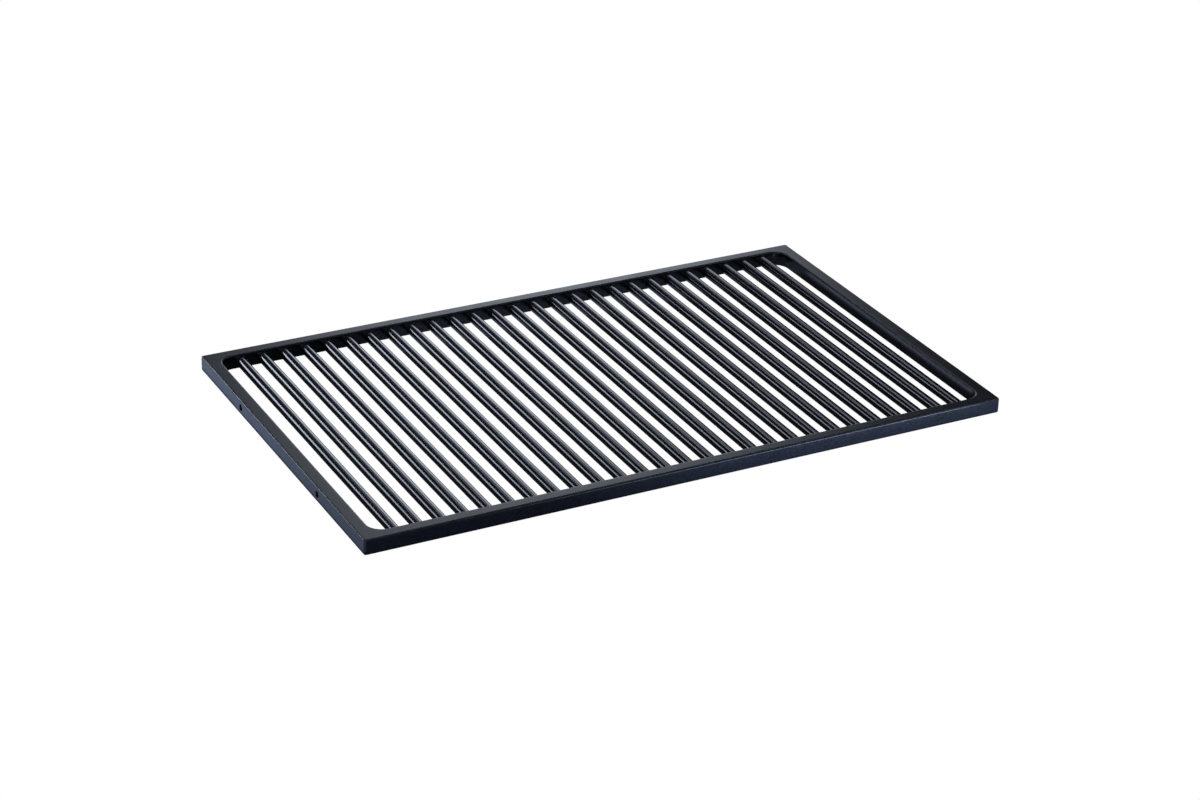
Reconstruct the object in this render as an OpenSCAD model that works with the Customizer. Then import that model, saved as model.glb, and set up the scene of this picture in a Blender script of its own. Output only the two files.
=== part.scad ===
// Gastronorm grill grid: one closed frame with round rods let into its two long rails.
// X runs along the long side, Y along the rods, Z up from the underside.
// The origin is the centre of the underside. All lengths are in millimetres.

/* [Frame] */
// Length over the frame, along X
grid_l = 530; // [400:1:650]
// Width over the frame, along Y
grid_w = 325; // [200:1:450]
// Height of the frame; it is the same whichever way up the grid lies
grid_h = 12.4; // [10:0.1:20]
// Width of the two long rails, which hold the rods
long_rail_w = 10; // [8:0.1:20]
// Width of the two short rails
short_rail_w = 10.8; // [8:0.1:20]
// Radius of the frame's four outer corners, seen from above
outer_corner_r = 2; // [1.5:0.5:8]
// Radius of the opening's four corners, seen from above
inner_corner_r = 12; // [4:0.5:20]
// Radius of the rounded arrises along the frame's top and bottom edges
arris_r = 1.4; // [0.3:0.1:1.4]

/* [Rods] */
// Number of rods
rod_count = 27; // [9:1:31]
// Diameter of a rod
rod_d = 8.4; // [5:0.1:9]
// Gap between each short rail and the rod next to it
end_gap = 14.2; // [10:0.1:20]
// How far each end of a rod is let into its rail
rod_seat_depth = 5; // [2:0.5:6]

/* [Side holes] */
// Diameter of the two blind holes in the left end of the frame
side_hole_d = 5.2; // [3:0.1:6]
// Depth of those holes, from the frame's end face
side_hole_depth = 7; // [4:0.5:7]
// Distance between their axes
side_hole_spacing = 152; // [60:1:170]
// Width of the narrow bevel round the mouth of each hole
side_hole_bevel = 0.4; // [0.2:0.1:0.8]

/* [Hidden] */
$fn = 96;
coating = [0.11, 0.12, 0.14];
overcut = 1;
opening_l = grid_l - 2 * short_rail_w;
opening_w = grid_w - 2 * long_rail_w;
rod_pitch = (opening_l - 2 * end_gap - rod_d) / (rod_count - 1);
rod_l = opening_w + 2 * rod_seat_depth;
mid_z = grid_h / 2;

function rod_name(i) = str("rod_", i < 10 ? "0" : "", i);
function rod_x(i) = (i - (rod_count + 1) / 2) * rod_pitch;

// A rectangle with rounded corners, centred on the origin.
module rounded_rectangle(length, width, r) {
    square([length - 2 * r, width], center = true);
    square([length, width - 2 * r], center = true);
    for (x = [-1, 1], y = [-1, 1])
        translate([x * (length / 2 - r), y * (width / 2 - r)])
            circle(r);
}

// Section of what a rounded arris takes off a square edge at the origin.
// The metal lies towards +X and +Y.
module arris_section() {
    difference() {
        translate([-overcut, -overcut])
            square(arris_r + overcut);
        translate([arris_r, arris_r])
            circle(arris_r);
    }
}

// What the arrises take off along the bottom edges of a rounded rectangle.
// side is 1 where the metal lies inside the rectangle, and -1 where it lies outside.
module edge_loop(length, width, r, side) {
    for (turn = [0, 180]) rotate(turn) {
        translate([0, -width / 2, 0])
            rotate([90, 0, 90])
                linear_extrude(length - 2 * r, center = true)
                    scale([side, 1]) arris_section();
        translate([-length / 2, 0, 0])
            rotate([90, 0, 0])
                linear_extrude(width - 2 * r, center = true)
                    scale([side, 1]) arris_section();
    }
    for (x = [0, 1], y = [0, 1])
        mirror([x, 0, 0]) mirror([0, y, 0])
            translate([r - length / 2, r - width / 2, 0])
                rotate(180)
                    rotate_extrude(angle = 90)
                        translate([r, 0])
                            scale([-side, 1]) arris_section();
}

// What the arrises take off the outside and the opening, along the bottom and the top.
module all_arrises() {
    for (top = [0, 1])
        translate([0, 0, top * grid_h])
            mirror([0, 0, top]) {
                edge_loop(grid_l, grid_w, outer_corner_r, 1);
                edge_loop(opening_l, opening_w, inner_corner_r, -1);
            }
}

// A blind hole with a bevelled mouth, drilled into the left end along X.
module side_hole() {
    rotate([0, 90, 0]) {
        cylinder(h = side_hole_depth, d = side_hole_d);
        translate([0, 0, -side_hole_bevel])
            cylinder(h = 2 * side_hole_bevel,
                     r1 = side_hole_d / 2 + 2 * side_hole_bevel,
                     r2 = side_hole_d / 2);
    }
}

// A round bar at rod i's place.
module rod_bar(i) {
    translate([rod_x(i), 0, mid_z])
        rotate([90, 0, 0])
            cylinder(h = rod_l, d = rod_d, center = true);
}

module frame() {
    color(coating)
        difference() {
            linear_extrude(grid_h)
                difference() {
                    rounded_rectangle(grid_l, grid_w, outer_corner_r);
                    rounded_rectangle(opening_l, opening_w, inner_corner_r);
                }
            all_arrises();
            for (i = [1:rod_count])
                rod_bar(i);
            for (y = [-0.5, 0.5] * side_hole_spacing)
                translate([-grid_l / 2, y, mid_z])
                    side_hole();
        }
}

module rod(i) {
    color(coating) rod_bar(i);
}

frame();
for (i = [1:rod_count])
    rod(i);
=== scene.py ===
"""Looks for the gastronorm grill grid: its visual meshes, its coatings and the studio."""

import math
import random

import bmesh
import bpy
from mathutils import Matrix, Vector


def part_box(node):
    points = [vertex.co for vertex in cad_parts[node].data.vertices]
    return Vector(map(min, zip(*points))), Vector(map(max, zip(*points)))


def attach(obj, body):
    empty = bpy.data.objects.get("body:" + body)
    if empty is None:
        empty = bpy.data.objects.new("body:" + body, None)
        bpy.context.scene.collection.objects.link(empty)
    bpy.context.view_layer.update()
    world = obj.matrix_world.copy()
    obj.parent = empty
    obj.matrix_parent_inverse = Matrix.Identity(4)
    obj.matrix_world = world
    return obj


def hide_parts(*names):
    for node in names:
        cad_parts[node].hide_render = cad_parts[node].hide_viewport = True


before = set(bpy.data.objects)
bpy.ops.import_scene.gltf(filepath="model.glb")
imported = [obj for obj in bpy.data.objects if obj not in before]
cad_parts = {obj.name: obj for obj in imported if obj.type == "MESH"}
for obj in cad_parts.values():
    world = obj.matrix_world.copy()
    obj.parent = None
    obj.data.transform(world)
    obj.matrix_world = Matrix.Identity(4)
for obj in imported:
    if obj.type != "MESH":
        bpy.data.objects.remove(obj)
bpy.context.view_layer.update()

# Everything is in metres. These sizes repeat the CAD part's own.
LONG_RAIL = 0.010
SHORT_RAIL = 0.0108
OUTER_R = 0.002
INNER_R = 0.012
ARRIS_R = 0.0014
SEAT_DEPTH = 0.005
HOLE_R = 0.0026
HOLE_BEVEL = 0.0004
HOLE_DEPTH = 0.007
HOLE_SPACING = 0.152

# Detail that only the visual meshes have.
ARRIS_STEPS = 8
CORNER_STEPS = 12
FILLET_STEPS = 5
# Longest gap between the cuts along each kind of rail.
LONG_RAIL_STEP = 0.004
SHORT_RAIL_STEP = 0.012
RIDGE = 0.00016
FILLET = 0.0004
ROD_SIDES = 64
ROD_STEPS = 60
ROD_CHAMFER = 0.0004
# How far a rod may bow, swell and fall short of round.
ROD_BOW = 0.00003
ROD_SWELL = 0.000012
ROD_UNEVEN = 0.00001
# Edges that fold by more than this many degrees stay sharp.
SHARP_DEG = 40
# Grid lines across a wall, as shares of half its flat height. Patches round holes use the same lines.
LINES = [-1, -0.72, -0.46, -0.24, -0.07, 0, 0.07, 0.24, 0.46, 0.72, 1]

low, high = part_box("frame")
LENGTH = high.x - low.x
WIDTH = high.y - low.y
HEIGHT = high.z
MID_Z = HEIGHT / 2
WALL_HALF = MID_Z - ARRIS_R
OPEN_X = LENGTH / 2 - SHORT_RAIL
OPEN_Y = WIDTH / 2 - LONG_RAIL
ROD_NAMES = sorted(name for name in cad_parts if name.startswith("rod_"))


def middle(node):
    """The centre of a CAD node's box."""
    a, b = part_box(node)
    return (a + b) / 2


ROD_XS = [middle(name).x for name in ROD_NAMES]
ROD_R = (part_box(ROD_NAMES[0])[1].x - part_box(ROD_NAMES[0])[0].x) / 2


# ---- mesh building ----

class Skin:
    """A closed surface made of separate strips of quads, which are welded at the end."""

    def __init__(self):
        self.bm = bmesh.new()
        # A per-vertex painted light level: painted highlights on the arrises and hole mouths, painted
        # shade inside the side holes.
        self.wear = self.bm.verts.layers.float.new("wear")

    def strip(self, rows, closed=False, wear=None):
        """Quads between neighbouring rows of points.

        The last argument gives each row's painted light: 1 for a full painted highlight, and -1 for
        painted shade inside a hole."""
        made = []
        for i, row in enumerate(rows):
            verts = [self.bm.verts.new(p) for p in row]
            if wear:
                for v in verts:
                    v[self.wear] = wear[i]
            made.append(verts)
        for a, b in zip(made, made[1:]):
            pairs = list(zip(a, b))
            if closed:
                pairs.append(pairs[0])
            for (a0, b0), (a1, b1) in zip(pairs, pairs[1:]):
                self.bm.faces.new((a0, a1, b1, b0))

    def lid(self, row):
        """One flat face that closes a ring of points."""
        self.bm.faces.new([self.bm.verts.new(p) for p in row])

    def finish(self, name):
        """Welds the strips and returns the object, smooth except at its sharp edges."""
        bmesh.ops.remove_doubles(self.bm, verts=self.bm.verts, dist=1e-6)
        bmesh.ops.recalc_face_normals(self.bm, faces=self.bm.faces)
        for edge in self.bm.edges:
            edge.smooth = edge.calc_face_angle(0) < math.radians(SHARP_DEG)
        for face in self.bm.faces:
            face.smooth = True
        mesh = bpy.data.meshes.new(name)
        self.bm.to_mesh(mesh)
        self.bm.free()
        obj = bpy.data.objects.new(name, mesh)
        bpy.context.scene.collection.objects.link(obj)
        weighted = obj.modifiers.new("weighted_normals", "WEIGHTED_NORMAL")
        weighted.keep_sharp = True
        return obj


class Station:
    """One cut across the frame ring, from the opening's wall to the outer wall."""

    def __init__(self, inner, into, outer, out, cell=None):
        self.inner = Vector((*inner, 0))
        self.into = Vector((*into, 0))
        self.outer = Vector((*outer, 0))
        self.out = Vector((*out, 0))
        self.cell = cell


def ridge(z):
    """How far the opening's wall stands proud of its foot: most at mid height, the parting line."""
    return RIDGE * max(0.0, 1 - abs(z - MID_Z) / WALL_HALF)


def wall_z():
    return [MID_Z + WALL_HALF * t for t in LINES]


def columns(centres, names, end, gap_step):
    """Places along a straight rail, with the lines of each patch, as (place, cell name)."""
    found = []
    for centre, name in sorted(zip(centres, names)):
        found += [(centre + WALL_HALF * t, name) for t in LINES]
    marks = [(-end, None)] + found + [(end, None)]
    filled = [marks[0]]
    for (a, cell_a), (b, cell_b) in zip(marks, marks[1:]):
        if cell_a is None or cell_a != cell_b:
            steps = max(1, round((b - a) / gap_step))
            filled += [(a + (b - a) * k / steps, None) for k in range(1, steps)]
        filled.append((b, cell_b))
    return filled


def corner_stations(turn):
    """The cuts round one corner, from the end of one straight rail to the start of the next."""
    swap = turn % 2 == 1
    open_a, open_b = (OPEN_Y, OPEN_X) if swap else (OPEN_X, OPEN_Y)
    half_a, half_b = (WIDTH / 2, LENGTH / 2) if swap else (LENGTH / 2, WIDTH / 2)
    inner_c = Vector((open_a - INNER_R, open_b - INNER_R))
    outer_c = Vector((half_a - OUTER_R, half_b - OUTER_R))
    outline = []
    for k in range(1, 4):
        outline.append((Vector((half_a, inner_c.y + (outer_c.y - inner_c.y) * k / 4)), 0.0))
    for k in range(CORNER_STEPS + 1):
        angle = math.pi / 2 * k / CORNER_STEPS
        outline.append((outer_c + OUTER_R * Vector((math.cos(angle), math.sin(angle))), angle))
    for k in range(3, 0, -1):
        outline.append((Vector((inner_c.x + (outer_c.x - inner_c.x) * k / 4, half_b)), math.pi / 2))
    spin = Matrix.Rotation(math.pi / 2 * turn, 2)
    made = []
    for outer, angle in outline:
        ray = (outer - inner_c).normalized()
        inner = inner_c + INNER_R * ray
        out = Vector((math.cos(angle), math.sin(angle)))
        made.append(Station(spin @ inner, spin @ -ray, spin @ outer, spin @ out))
    return made


def ring_stations():
    """Every cut round the frame, anticlockwise from the front end of the right rail."""
    hole_ys = [-HOLE_SPACING / 2, HOLE_SPACING / 2]
    along_y = columns(hole_ys, ["hole_front", "hole_back"], OPEN_Y - INNER_R, SHORT_RAIL_STEP)
    along_x = columns(ROD_XS, ROD_NAMES, OPEN_X - INNER_R, LONG_RAIL_STEP)
    ring = []
    for y, cell in along_y:
        ring.append(Station((OPEN_X, y), (-1, 0), (LENGTH / 2, y), (1, 0)))
    ring += corner_stations(0)
    for x, cell in reversed(along_x):
        ring.append(Station((x, OPEN_Y), (0, -1), (x, WIDTH / 2), (0, 1), cell))
    ring += corner_stations(1)
    for y, cell in reversed(along_y):
        ring.append(Station((-OPEN_X, y), (1, 0), (-LENGTH / 2, y), (-1, 0), cell))
    ring += corner_stations(2)
    for x, cell in along_x:
        ring.append(Station((x, -OPEN_Y), (0, 1), (x, -WIDTH / 2), (0, -1), cell))
    ring += corner_stations(3)
    return ring


def arris(edge, away, z_edge, up):
    """Points round a quarter-round arris, from the flat face to the wall, with their painted highlight
    level.
    """
    points, wear = [], []
    for k in range(ARRIS_STEPS + 1):
        angle = math.pi / 2 * k / ARRIS_STEPS
        p = edge + away * ARRIS_R * (math.sin(angle) - 1)
        z = z_edge + up * ARRIS_R * (math.cos(angle) - 1)
        points.append(Vector((p.x, p.y, z)))
        # Painted highlight, strongest halfway round the arris.
        wear.append(math.sin(2 * angle))
    return points, wear


def face_points(station, z, steps=3):
    """Points across the flat top or bottom, from the opening to the outside."""
    a = station.inner - station.into * ARRIS_R
    b = station.outer - station.out * ARRIS_R
    return [Vector((*(a + (b - a) * k / steps).xy, z)) for k in range(steps + 1)]


def add_ring(skin):
    """All the surfaces of the frame ring except the patches round the rod seats and side holes."""
    ring = ring_stations()
    for a, b in zip(ring, ring[1:] + ring[:1]):
        both = (a, b)
        for z, up in ((HEIGHT, 1), (0.0, -1)):
            skin.strip([face_points(s, z) for s in both])
            for edge, away in (("inner", "into"), ("outer", "out")):
                rows = [arris(getattr(s, edge), getattr(s, away), z, up) for s in both]
                across = list(zip(rows[0][0], rows[1][0]))
                # Each arris carries its painted highlight level.
                skin.strip(across, wear=rows[0][1])
        same_cell = a.cell is not None and a.cell == b.cell
        if not (same_cell and a.cell.startswith("rod")):
            skin.strip([[s.inner + s.into * ridge(z) + Vector((0, 0, z)) for z in wall_z()] for s in both])
        if not (same_cell and a.cell.startswith("hole")):
            skin.strip([[s.outer + Vector((0, 0, z)) for z in wall_z()] for s in both])


def square_outline():
    """The border of a square patch, anticlockwise, as (across, up) from its centre."""
    half = WALL_HALF
    ticks = [half * t for t in LINES[:-1]]
    border = [(t, -half) for t in ticks]
    border += [(half, t) for t in ticks]
    border += [(-t, half) for t in ticks]
    border += [(-half, -t) for t in ticks]
    return border


def add_patch(skin, centre, across, out, rings, lift):
    """Fills a square hole in a wall with rings that run from its border down into a round hole.

    Each ring is (radius, height above the wall, painted light level: above 0 a painted highlight, -1
    painted shade). lift(z) is the wall's own height there."""
    border = square_outline()
    up = Vector((0, 0, 1))

    def place(u, v, height, follow):
        own = lift(MID_Z + v) * follow
        return centre + across * u + up * v + out * (height + own)

    rows = [[place(u, v, 0, 1) for u, v in border]]
    first = rings[0][0]
    blended = []
    for u, v in border:
        r = math.hypot(u, v)
        mixed = (r + first) / 2 / r
        blended.append(place(u * mixed, v * mixed, 0, 1))
    rows.append(blended)
    wear = [0, 0]
    for radius, height, light_level in rings:
        follow = 1 if height > -FILLET else 0
        rows.append([place(u * radius / math.hypot(u, v), v * radius / math.hypot(u, v), height, follow)
                     for u, v in border])
        wear.append(light_level)
    skin.strip(rows, closed=True, wear=wear)
    skin.lid(rows[-1])


def seat_rings():
    """The coating's small fillet up to the rod, then the blind seat that holds the rod's end."""
    rings = [(ROD_R + FILLET, 0, 0)]
    for k in range(1, FILLET_STEPS + 1):
        angle = math.pi / 2 * k / FILLET_STEPS
        radius = ROD_R + FILLET * (1 - math.sin(angle))
        rings.append((radius, FILLET * (1 - math.cos(angle)), 0))
    rings.append((ROD_R, -SEAT_DEPTH, 0))
    return rings


def hole_rings():
    """The bevelled mouth of a side hole, its wall and its blind end, with a painted highlight on the mouth
    and painted shade in the bore.
    """
    rings = [(HOLE_R + HOLE_BEVEL * 1.3, 0, 0)]
    rings.append((HOLE_R + HOLE_BEVEL, -HOLE_BEVEL * 0.15, 0.4))
    rings.append((HOLE_R + HOLE_BEVEL * 0.1, -HOLE_BEVEL * 0.95, 0.2))
    rings.append((HOLE_R, -HOLE_BEVEL * 1.3, -1))
    rings.append((HOLE_R, -HOLE_DEPTH, -1))
    return rings


def build_frame():
    """The frame ring, in one closed skin, with its rod seats and side holes."""
    skin = Skin()
    add_ring(skin)
    for x in ROD_XS:
        for side in (-1, 1):
            wall = Vector((x, side * OPEN_Y, MID_Z))
            add_patch(skin, wall, Vector((1, 0, 0)), Vector((0, -side, 0)), seat_rings(), ridge)
    for side in (-1, 1):
        wall = Vector((-LENGTH / 2, side * HOLE_SPACING / 2, MID_Z))
        add_patch(skin, wall, Vector((0, 1, 0)), Vector((-1, 0, 0)), hole_rings(), lambda z: 0)
    return skin.finish("frame_ring")


def build_rod(name, seed):
    """One round rod with chamfered ends, drawn very slightly uneven along its length."""
    rng = random.Random(seed)
    phases = [rng.uniform(0, 2 * math.pi) for _ in range(4)]
    centre = middle(name)
    half = (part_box(name)[1].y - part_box(name)[0].y) / 2
    visible = OPEN_Y - FILLET
    stops = [(-half, ROD_R - ROD_CHAMFER), (-half + ROD_CHAMFER, ROD_R)]
    stops += [(-visible + 2 * visible * k / ROD_STEPS, ROD_R) for k in range(ROD_STEPS + 1)]
    stops += [(half - ROD_CHAMFER, ROD_R), (half, ROD_R - ROD_CHAMFER)]
    rows = []
    for y, radius in stops:
        free = max(0.0, 1 - (y / visible) ** 4)
        bow_x = ROD_BOW * free * math.sin(y * 31 + phases[0])
        bow_z = ROD_BOW * free * math.sin(y * 23 + phases[1])
        swell = ROD_SWELL * free * math.sin(y * 90 + phases[2])
        row = []
        for k in range(ROD_SIDES):
            angle = 2 * math.pi * k / ROD_SIDES
            uneven = ROD_UNEVEN * free * (1 + math.sin(3 * angle + y * 40 + phases[3]))
            r = radius + swell - uneven
            x = centre.x + bow_x + r * math.sin(angle)
            row.append((x, y, MID_Z + bow_z + r * math.cos(angle)))
        rows.append(row)
    skin = Skin()
    skin.strip(rows, closed=True)
    skin.lid(rows[0])
    skin.lid(rows[-1])
    return skin.finish(name + "_bar")


# ---- materials ----

# Colours of the coating on the frame and the rods: each drifts between two near-blacks.
FRAME_DARKS = ((0.0024, 0.0028, 0.0038), (0.0038, 0.0044, 0.0058))
ROD_DARKS = ((0.0016, 0.0019, 0.0032), (0.0028, 0.0033, 0.0050))
# The colour of the painted highlight along the arrises and hole mouths, drawn as rubbed coating.
HIGHLIGHT_COLOUR = (0.10, 0.11, 0.13)
COATING_IOR = 1.5


class Nodes:
    """A small helper that adds nodes to a material and links them."""

    def __init__(self, name):
        self.material = bpy.data.materials.new(name)
        self.material.use_nodes = True
        self.tree = self.material.node_tree

    def add(self, kind):
        return self.tree.nodes.new(kind)

    def link(self, source, target):
        self.tree.links.new(source, target)

    def fill(self, socket, value):
        """Sets a socket to a number, or links it to another socket."""
        if isinstance(value, (int, float)):
            socket.default_value = value
        else:
            self.link(value, socket)

    def maths(self, operation, a, b=0.0):
        node = self.add("ShaderNodeMath")
        node.operation = operation
        for socket, value in zip(node.inputs, (a, b)):
            self.fill(socket, value)
        return node.outputs["Value"]

    def map_range(self, value, limits, smooth=False):
        """value carried from one range to another, and held at its ends."""
        node = self.add("ShaderNodeMapRange")
        if smooth:
            node.interpolation_type = "SMOOTHSTEP"
        for socket, limit in zip(("From Min", "From Max", "To Min", "To Max"), limits):
            node.inputs[socket].default_value = limit
        self.link(value, node.inputs["Value"])
        return node.outputs["Result"]


class CoatingNodes(Nodes):
    """Nodes for a coating, on one Principled shader."""

    def __init__(self, name):
        super().__init__(name)
        self.surface = self.tree.nodes["Principled BSDF"]
        self.coordinates = self.add("ShaderNodeTexCoord")
        self.place = self.coordinates.outputs["Object"]

    def stretched(self, scale):
        """Object coordinates multiplied by scale, so that a pattern can be drawn out along an axis."""
        mapping = self.add("ShaderNodeMapping")
        mapping.inputs["Scale"].default_value = scale
        self.link(self.place, mapping.inputs["Vector"])
        return mapping.outputs["Vector"]

    def noise(self, scale, detail=4.0, roughness=0.5, where=None):
        node = self.add("ShaderNodeTexNoise")
        node.inputs["Scale"].default_value = scale
        node.inputs["Detail"].default_value = detail
        node.inputs["Roughness"].default_value = roughness
        self.link(where or self.place, node.inputs["Vector"])
        return node.outputs["Fac"]

    def spread(self, value, low_in, high_in, low_out, high_out):
        return self.map_range(value, (low_in, high_in, low_out, high_out))

    def colours(self, factor, first, second):
        """first where factor is 0, and second where it is 1. first may be another node's output."""
        node = self.add("ShaderNodeMix")
        node.data_type = "RGBA"
        if isinstance(first, tuple):
            node.inputs["A"].default_value = (*first, 1)
        else:
            self.link(first, node.inputs["A"])
        node.inputs["B"].default_value = (*second, 1)
        self.link(factor, node.inputs["Factor"])
        return node.outputs["Result"]

    def bump(self, height, strength, distance, before=None):
        node = self.add("ShaderNodeBump")
        node.inputs["Strength"].default_value = strength
        node.inputs["Distance"].default_value = distance
        self.link(height, node.inputs["Height"])
        if before:
            self.link(before, node.inputs["Normal"])
        return node.outputs["Normal"]

    def wear(self):
        """The painted highlight share and the painted shade share of the surface, each from 0 to 1."""
        node = self.add("ShaderNodeAttribute")
        node.attribute_name = "wear"
        light_level = node.outputs["Fac"]
        return self.spread(light_level, 0, 1, 0, 1), self.spread(light_level, 0, -1, 0, 1)

    def upright(self):
        """1 on an upright wall, and 0 on a level face."""
        split = self.add("ShaderNodeSeparateXYZ")
        self.link(self.coordinates.outputs["Normal"], split.inputs[0])
        return self.spread(self.maths("ABSOLUTE", split.outputs["Z"]), 0.3, 0.9, 1, 0)

    def set(self, name, value):
        """Sets or links one input of the Principled shader."""
        self.fill(self.surface.inputs[name], value)


def frame_coating():
    """Satin black non-stick coating with a fine cast grain, a painted highlight along the arrises drawn as
    rubbed coating, and painted shade in the side holes.
    """
    nodes = CoatingNodes("frame_coating")
    cloud = nodes.noise(45, detail=3)
    grain = nodes.noise(1400, detail=3, roughness=0.6)
    drawn = nodes.noise(1, detail=3, roughness=0.6, where=nodes.stretched((300, 300, 1000)))
    # Painted highlight along the arrises and hole mouths, broken into patches and drawn as a lighter,
    # metallic rubbed coating.
    patches = nodes.spread(nodes.noise(160, detail=3), 0.35, 0.65, 0.1, 0.4)
    light_level, shade_share = nodes.wear()
    painted_highlight = nodes.maths("MULTIPLY", light_level, patches)
    colour = nodes.colours(painted_highlight, nodes.colours(cloud, *FRAME_DARKS), HIGHLIGHT_COLOUR)
    nodes.set("Base Color", colour)
    nodes.set("Metallic", nodes.maths("MULTIPLY", painted_highlight, 0.7))
    # The walls are smoother than the level faces.
    wall = nodes.upright()
    cloud_rough = nodes.spread(cloud, 0.3, 0.7, 0.31, 0.36)
    grain_rough = nodes.spread(grain, 0.3, 0.7, 0, 0.05)
    rough = nodes.maths("ADD", cloud_rough, grain_rough)
    nodes.set("Roughness", nodes.maths("SUBTRACT", rough, nodes.maths("MULTIPLY", wall, 0.16)))
    # Their shine varies in streaks, and the inside of a side hole has none: painted shade there.
    streaks = nodes.maths("MULTIPLY", wall, nodes.spread(drawn, 0.3, 0.7, -0.2, 0.2))
    shine = nodes.maths("ADD", streaks, 0.5)
    unshaded = nodes.maths("SUBTRACT", 1, shade_share)
    nodes.set("Specular IOR Level", nodes.maths("MULTIPLY", shine, unshaded))
    drawn_normal = nodes.bump(drawn, strength=0.20, distance=0.00005)
    nodes.set("Normal", nodes.bump(grain, strength=0.04, distance=0.00003, before=drawn_normal))
    nodes.set("IOR", COATING_IOR)
    return nodes.material


def rod_coating():
    """The same coating on the smooth rods: glossier, with faint marks along the rod."""
    nodes = CoatingNodes("rod_coating")
    cloud = nodes.noise(60, detail=3)
    drawn = nodes.noise(1, detail=4, roughness=0.55, where=nodes.stretched((900, 25, 900)))
    nodes.set("Base Color", nodes.colours(cloud, *ROD_DARKS))
    cloud_rough = nodes.spread(cloud, 0.3, 0.7, 0.15, 0.18)
    drawn_rough = nodes.spread(drawn, 0.3, 0.7, 0, 0.04)
    nodes.set("Roughness", nodes.maths("ADD", cloud_rough, drawn_rough))
    nodes.set("Normal", nodes.bump(drawn, strength=0.04, distance=0.00001))
    nodes.set("Specular IOR Level", 0.75)
    nodes.set("IOR", COATING_IOR)
    return nodes.material


# ---- studio ----

CAMERA_AZIMUTH = math.radians(-27.861)
CAMERA_ELEVATION = math.radians(26.573)
CAMERA_ROLL = math.radians(1.433)
CAMERA_DISTANCE = 2.2599
CAMERA_PAN = (0.002403, -0.007012)
CAMERA_LENS = 87.25
SENSOR_WIDTH = 36

# Tints of the lights.
COOL = (0.92, 1.0, 1.14)
SHADE = (0.75, 1.0, 1.60)
GAP_GLOW = (0.86, 1.0, 1.40)
LEFT_GLOW = (0.78, 1.0, 1.50)
FRONT_GLOW = (0.75, 1.0, 1.80)
FAR_GLOW = (0.84, 1.0, 1.28)
WHITE = (1, 1, 1)
SHADE_STRENGTH = 0.05

# The back card glows in half an ellipse on the floor, full inside its core and dark at its rim.
CARD_BEARING = 27.9
CARD_DISTANCE = 1.6
CARD_CENTRE = -0.08
CARD_REACH = 0.52
CARD_TOP = 1.46
CARD_CORE = 0.40
CARD_PEAK = 2.26

# The floor lies just under the grid.
FLOOR_HALF = 4.0
FLOOR_DROP = 0.0002
PAPER = (0.1, 0.1, 0.1, 1)
# How wide the near edges of the floor's glow are.
EDGE_FADE = 0.003
# Strength of the glow left of the grid, at its front and back, and what is added farther out.
LEFT_FRONT = 0.27
LEFT_BACK = 0.48
LEFT_FAR = 0.4
LEFT_FAR_EDGE = (0.011, 0.022)
# Strength of the glow in front of the grid, towards its left and its right.
FRONT_LEFT = 0.09
FRONT_RIGHT = 0.47
# The bright floor farther in front: its near edge, its two ends along X, its peak, where it stops,
# and how steeply its near edge bends away past the right end.
FAR_EDGE = (0.022, 0.036)
FAR_ENDS = (-0.20, 0.35)
FAR_PEAK = 8.5
FAR_LIMIT = (-1.0, -0.5)
FAR_BEND = 2
# The strip of floor that shines between the last rod and the right rail: its bright line and its end.
LAST_GAP = (OPEN_X - 0.0142, OPEN_X - 0.0116)
GAP_PEAK = 1.2
# How far from the long rails that strip starts to fade, at its back and at its front.
GAP_BACK_FADE = (0.014, 0.034)
GAP_FRONT_FADE = (0.012, 0.030)
# The glow from the back of the opening onwards: its near edge, and its left and right ends.
BEHIND_EDGE = (0.035, 0.020)
BEHIND_LEFT_END = (-LENGTH / 2.8, -LENGTH / 8)
BEHIND_RIGHT_END = (LENGTH / 2.3, LENGTH / 6)
BEHIND_PEAK = 0.24
BEHIND_RIGHT = 0.5
# The least glow of the floor behind the grid's front edge.
LEAST_GLOW = 0.03
# The glow beneath the rails, which starts this far in from their edges.
RAIL_INSET = 0.001
UNDER_STRENGTH = 0.5


def view_axes():
    """The camera's right, up and forward directions."""
    a, e, r = CAMERA_AZIMUTH, CAMERA_ELEVATION, CAMERA_ROLL
    forward = Vector((-math.sin(a) * math.cos(e), math.cos(a) * math.cos(e), -math.sin(e)))
    right = forward.cross(Vector((0, 0, 1))).normalized()
    up = right.cross(forward)
    return (math.cos(r) * right + math.sin(r) * up, math.cos(r) * up - math.sin(r) * right, forward)


def add_camera():
    right, up, forward = view_axes()
    data = bpy.data.cameras.new("camera")
    data.lens = CAMERA_LENS
    data.sensor_width = SENSOR_WIDTH
    data.sensor_fit = "HORIZONTAL"
    data.clip_start = 0.05
    data.clip_end = 50
    camera = bpy.data.objects.new("camera", data)
    bpy.context.scene.collection.objects.link(camera)
    turn = Matrix((right, up, -forward)).transposed()
    place = right * CAMERA_PAN[0] + up * CAMERA_PAN[1] - forward * CAMERA_DISTANCE
    camera.matrix_world = Matrix.Translation(place) @ turn.to_4x4()
    bpy.context.scene.camera = camera


def from_bearing(bearing_deg, distance, height):
    """A place at a bearing from the object, in degrees from +Y towards +X."""
    b = math.radians(bearing_deg)
    return Vector((distance * math.sin(b), distance * math.cos(b), height))


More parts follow.
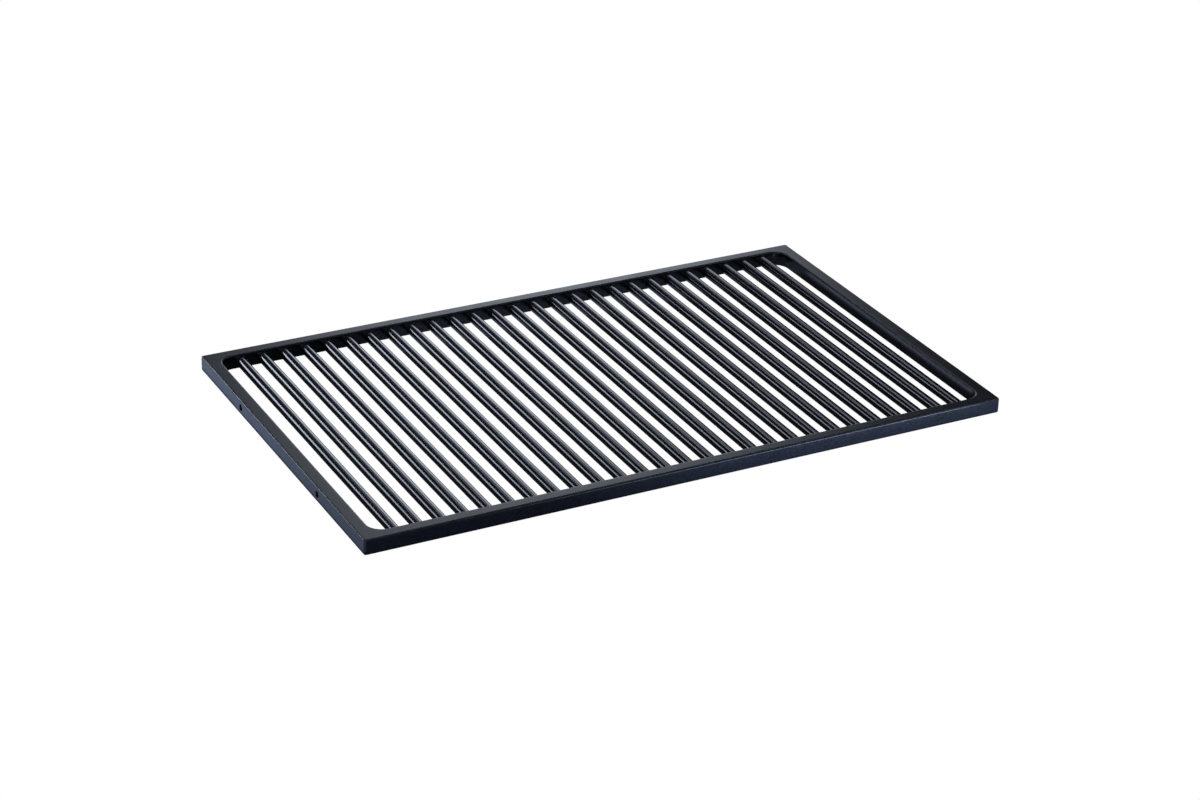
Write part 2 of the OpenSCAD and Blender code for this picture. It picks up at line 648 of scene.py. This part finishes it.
def add_softbox(name, bearing, distance, height, width, tall, radiance, aim_x=0.0, spread_deg=180):
    """A rectangular lamp that faces the point aim_x along the object and isn't seen by the camera."""
    data = bpy.data.lights.new(name, "AREA")
    data.shape = "RECTANGLE"
    data.size = width
    data.size_y = tall
    data.energy = radiance * math.pi * width * tall
    data.spread = math.radians(spread_deg)
    data.color = COOL
    lamp = bpy.data.objects.new(name, data)
    bpy.context.scene.collection.objects.link(lamp)
    lamp.location = from_bearing(bearing, distance, height)
    lamp.rotation_mode = "QUATERNION"
    lamp.rotation_quaternion = (Vector((aim_x, 0, 0)) - lamp.location).to_track_quat("-Z", "Y")
    lamp.visible_camera = False


def add_softboxes():
    add_softbox("left_light", bearing=-38, distance=1.2, height=0.32, width=0.46, tall=0.22,
                radiance=0.92, aim_x=-0.42, spread_deg=62)
    add_softbox("high_card", bearing=14, distance=1.75, height=1.62, width=0.9, tall=0.5, radiance=2.2)
    for name, bearing in (("front_card", 207.9), ("right_card", 117.9), ("far_left_card", -62.1)):
        add_softbox(name, bearing, distance=1.6, height=0.75, width=1.0, tall=0.9, radiance=1)
    add_softbox("overhead", bearing=0, distance=0.01, height=2.2, width=1.2, tall=1.2, radiance=1)


class StageNodes(Nodes):
    """Nodes for the floor and the glowing card, with x, y and z measured from their own origin."""

    def __init__(self, name):
        super().__init__(name)
        self.tree.nodes.clear()
        split = self.add("ShaderNodeSeparateXYZ")
        self.link(self.add("ShaderNodeTexCoord").outputs["Object"], split.inputs[0])
        self.x, self.y, self.z = split.outputs

    def ramp(self, value, start, end, low_out=0.0, high_out=1.0):
        """Goes smoothly from low_out at start to high_out at end, and holds beyond both."""
        if start > end:
            return self.map_range(value, (end, start, high_out, low_out), smooth=True)
        return self.map_range(value, (start, end, low_out, high_out), smooth=True)

    def product(self, *factors):
        """All the factors multiplied together."""
        result = factors[0]
        for factor in factors[1:]:
            result = self.maths("MULTIPLY", result, factor)
        return result

    def emission(self, colour, strength):
        node = self.add("ShaderNodeEmission")
        node.inputs["Color"].default_value = (*colour, 1)
        self.fill(node.inputs["Strength"], strength)
        return node.outputs[0]

    def join(self, a, b):
        node = self.add("ShaderNodeAddShader")
        self.link(a, node.inputs[0])
        self.link(b, node.inputs[1])
        return node.outputs[0]

    def choose(self, factor, a, b):
        """a where factor is 0, and b where it is 1."""
        node = self.add("ShaderNodeMixShader")
        for socket, value in zip(node.inputs, (factor, a, b)):
            self.link(value, socket)
        return node.outputs[0]

    def finish(self, shader):
        self.link(shader, self.add("ShaderNodeOutputMaterial").inputs["Surface"])


def add_stage_piece(name, corners, material):
    mesh = bpy.data.meshes.new(name)
    mesh.from_pydata(corners, [], [(0, 1, 2, 3)])
    mesh.materials.append(material)
    piece = bpy.data.objects.new(name, mesh)
    bpy.context.scene.collection.objects.link(piece)
    return piece


def add_back_card():
    """A tall white card behind the object, brightest in its middle. The grid's top mirrors it."""
    nodes = StageNodes("back_card")
    aside = nodes.maths("DIVIDE", nodes.maths("SUBTRACT", nodes.x, CARD_CENTRE), CARD_REACH)
    up = nodes.maths("DIVIDE", nodes.z, CARD_TOP)
    squares = nodes.maths("ADD", nodes.maths("POWER", aside, 2), nodes.maths("POWER", up, 2))
    strength = nodes.ramp(nodes.maths("SQRT", squares), 1.0, CARD_CORE, 0.0, CARD_PEAK)
    nodes.finish(nodes.emission(COOL, strength))
    half = CARD_REACH + abs(CARD_CENTRE)
    corners = [(-half, 0, 0), (half, 0, 0), (half, 0, CARD_TOP), (-half, 0, CARD_TOP)]
    card = add_stage_piece("back_card", corners, nodes.material)
    card.location = from_bearing(CARD_BEARING, CARD_DISTANCE, 0.0)
    card.rotation_euler.z = -math.radians(CARD_BEARING)
    card.visible_camera = False


def left_strength(nodes):
    """The floor left of the grid, which its left end mirrors."""
    edge = nodes.ramp(nodes.x, -LENGTH / 2, -LENGTH / 2 - EDGE_FADE)
    along = nodes.ramp(nodes.y, -WIDTH / 2, WIDTH / 2, LEFT_FRONT, LEFT_BACK)
    near, far = LEFT_FAR_EDGE
    farther = nodes.product(nodes.ramp(nodes.x, -LENGTH / 2 - near, -LENGTH / 2 - far), LEFT_FAR)
    return nodes.maths("ADD", nodes.product(edge, along), farther)


def front_strength(nodes):
    """The floor just in front of the grid, which its front wall mirrors."""
    edge = nodes.ramp(nodes.y, -WIDTH / 2, -WIDTH / 2 - EDGE_FADE)
    along = nodes.ramp(nodes.x, -LENGTH / 4, LENGTH / 4, FRONT_LEFT, FRONT_RIGHT)
    return nodes.product(edge, along)


def far_front_strength(nodes):
    """The floor farther in front, out of the grid's shade, which the front arris mirrors.

    Its edge bends away past the right end, to keep it out of what the end face mirrors."""
    past_end = nodes.maths("MAXIMUM", nodes.maths("SUBTRACT", nodes.x, LENGTH / 2), 0)
    bent_y = nodes.maths("ADD", nodes.y, nodes.maths("MULTIPLY", past_end, FAR_BEND))
    near, far = FAR_EDGE
    edge = nodes.ramp(bent_y, -WIDTH / 2 - near, -WIDTH / 2 - far)
    along = nodes.ramp(nodes.x, *FAR_ENDS, 0, FAR_PEAK)
    return nodes.product(edge, along, nodes.ramp(nodes.y, *FAR_LIMIT))


def rear_strength(nodes):
    """The floor in the last gap, the floor from the back of the opening on, and the dim rest."""
    line, end = LAST_GAP
    gap = nodes.product(nodes.ramp(nodes.x, end, line),
                        nodes.ramp(nodes.x, ROD_XS[-1], line, 0, GAP_PEAK),
                        nodes.ramp(nodes.y, *[OPEN_Y - fade for fade in GAP_BACK_FADE]),
                        nodes.ramp(nodes.y, *[fade - OPEN_Y for fade in GAP_FRONT_FADE]))
    behind = nodes.product(nodes.ramp(nodes.y, *[OPEN_Y - edge for edge in BEHIND_EDGE]),
                           nodes.ramp(nodes.x, *BEHIND_LEFT_END, 0, BEHIND_PEAK),
                           nodes.ramp(nodes.x, *BEHIND_RIGHT_END, BEHIND_RIGHT, 1))
    brightest = nodes.maths("MAXIMUM", nodes.maths("MAXIMUM", gap, behind), LEAST_GLOW)
    return nodes.product(brightest, nodes.ramp(nodes.y, -WIDTH / 2 - EDGE_FADE, -WIDTH / 2))


def under_strength(nodes):
    """The floor beneath the frame's rails, which lights the underside only."""
    far_x = nodes.maths("ABSOLUTE", nodes.x)
    far_y = nodes.maths("ABSOLUTE", nodes.y)
    past_opening = nodes.maths("MAXIMUM",
                               nodes.ramp(far_x, OPEN_X + RAIL_INSET, OPEN_X + EDGE_FADE),
                               nodes.ramp(far_y, OPEN_Y + RAIL_INSET, OPEN_Y + EDGE_FADE))
    in_outline = nodes.product(nodes.ramp(far_x, LENGTH / 2 - RAIL_INSET, LENGTH / 2 - EDGE_FADE),
                               nodes.ramp(far_y, WIDTH / 2 - RAIL_INSET, WIDTH / 2 - EDGE_FADE))
    return nodes.product(past_opening, in_outline, UNDER_STRENGTH)


def add_floor():
    """A pale floor: plain white to the camera, and mostly in shade to the grid's mirror-like sides."""
    nodes = StageNodes("floor")
    paper = nodes.add("ShaderNodeBsdfDiffuse")
    paper.inputs["Color"].default_value = PAPER
    lit = paper.outputs[0]
    for tint, strength in ((LEFT_GLOW, left_strength), (FRONT_GLOW, front_strength),
                           (FAR_GLOW, far_front_strength), (GAP_GLOW, rear_strength),
                           (COOL, under_strength)):
        lit = nodes.join(lit, nodes.emission(tint, strength(nodes)))
    camera_ray = nodes.add("ShaderNodeLightPath").outputs["Is Camera Ray"]
    seen = nodes.choose(camera_ray, lit, nodes.emission(WHITE, 1.0))
    # From below the floor is clear, so that the underside can be seen.
    from_below = nodes.add("ShaderNodeNewGeometry").outputs["Backfacing"]
    clear = nodes.add("ShaderNodeBsdfTransparent").outputs[0]
    nodes.finish(nodes.choose(from_below, seen, clear))
    half = FLOOR_HALF
    corners = [(-half, -half, 0), (half, -half, 0), (half, half, 0), (-half, half, 0)]
    floor = add_stage_piece("floor", corners, nodes.material)
    floor.location.z = -FLOOR_DROP


def add_world():
    """White to the camera, and a dim even light to the object."""
    world = bpy.data.worlds.new("studio")
    bpy.context.scene.world = world
    world.use_nodes = True
    tree = world.node_tree
    tree.nodes.clear()
    mix = tree.nodes.new("ShaderNodeMixShader")
    path = tree.nodes.new("ShaderNodeLightPath")
    tree.links.new(path.outputs["Is Camera Ray"], mix.inputs[0])
    for slot, colour, strength in ((1, SHADE, SHADE_STRENGTH), (2, WHITE, 1.0)):
        sky = tree.nodes.new("ShaderNodeBackground")
        sky.inputs["Color"].default_value = (*colour, 1)
        sky.inputs["Strength"].default_value = strength
        tree.links.new(sky.outputs[0], mix.inputs[slot])
    out = tree.nodes.new("ShaderNodeOutputWorld")
    tree.links.new(mix.outputs[0], out.inputs["Surface"])


# ---- assembly ----

ring = build_frame()
ring.data.materials.append(frame_coating())
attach(ring, "root")
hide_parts("frame")

smooth_black = rod_coating()
for number, name in enumerate(ROD_NAMES, start=1):
    bar = build_rod(name, seed=number)
    bar.data.materials.append(smooth_black)
    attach(bar, "root")
    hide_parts(name)

add_camera()
add_floor()
add_world()
add_back_card()
add_softboxes()
bpy.context.scene.view_settings.view_transform = "Standard"
